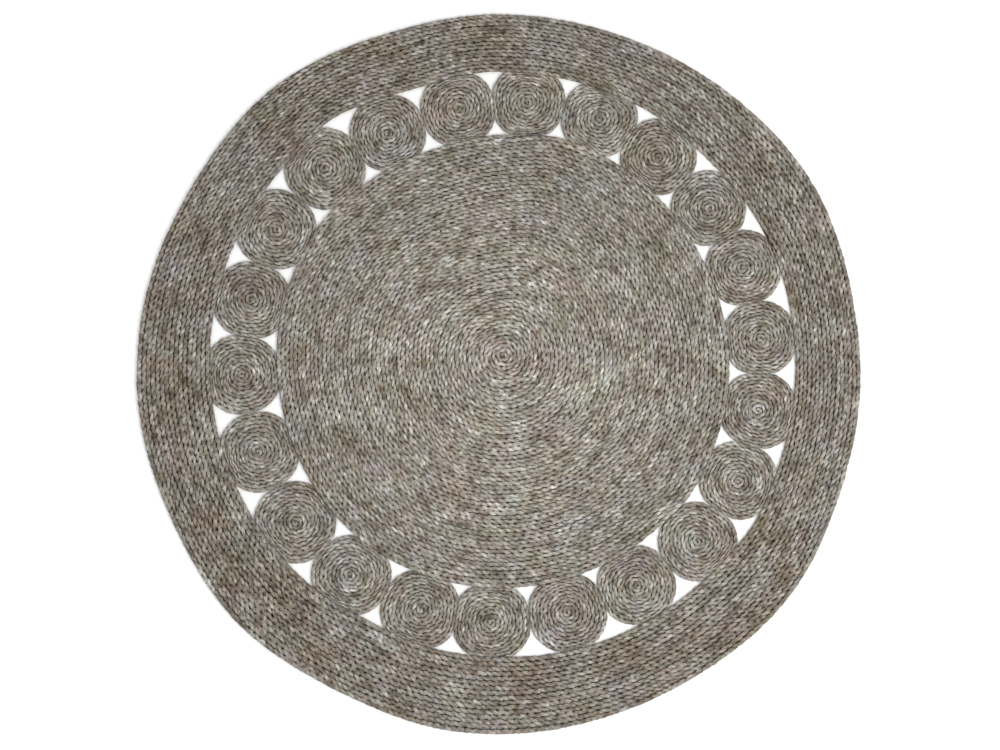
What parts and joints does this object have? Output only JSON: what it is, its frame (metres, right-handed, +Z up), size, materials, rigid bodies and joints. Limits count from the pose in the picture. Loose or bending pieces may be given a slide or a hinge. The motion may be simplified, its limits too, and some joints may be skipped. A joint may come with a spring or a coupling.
{
  "type": "round coiled seagrass rug",
  "caption": "Round flat floor rug of coiled seagrass rope: a coiled centre disc, a circle of small coiled rosettes with openings between them, and a broad coiled outer ring.",
  "frame": {"origin": "middle of the rug's bounding box, on its flat underside where it rests on the floor", "axes": "+Z up out of the floor, +Y towards the top edge of the rug as pictured from above, +X to the right"},
  "size_m": [1.503, 1.4952, 0.008],
  "materials": {
    "ring_rope": "matte two-ply seagrass rope, grey brown with olive and dark strands",
    "rosette_rope": "matte two-ply seagrass rope, cool grey with brown strands",
    "disc_rope": "matte two-ply seagrass rope, pale grey green with beige strands"
  },
  "bodies": {
    "root": {"outer_ring": "ring_rope", "centre_disc": "disc_rope", "rosette_01": "rosette_rope", "rosette_02": "rosette_rope", "rosette_03": "rosette_rope", "rosette_04": "rosette_rope", "rosette_05": "rosette_rope", "rosette_06": "rosette_rope", "rosette_07": "rosette_rope", "rosette_08": "rosette_rope", "rosette_09": "rosette_rope", "rosette_10": "rosette_rope", "rosette_11": "rosette_rope", "rosette_12": "rosette_rope", "rosette_13": "rosette_rope", "rosette_14": "rosette_rope", "rosette_15": "rosette_rope", "rosette_16": "rosette_rope", "rosette_17": "rosette_rope", "rosette_18": "rosette_rope", "rosette_19": "rosette_rope", "rosette_20": "rosette_rope", "rosette_21": "rosette_rope", "rosette_22": "rosette_rope"}
  },
  "joints": []
}
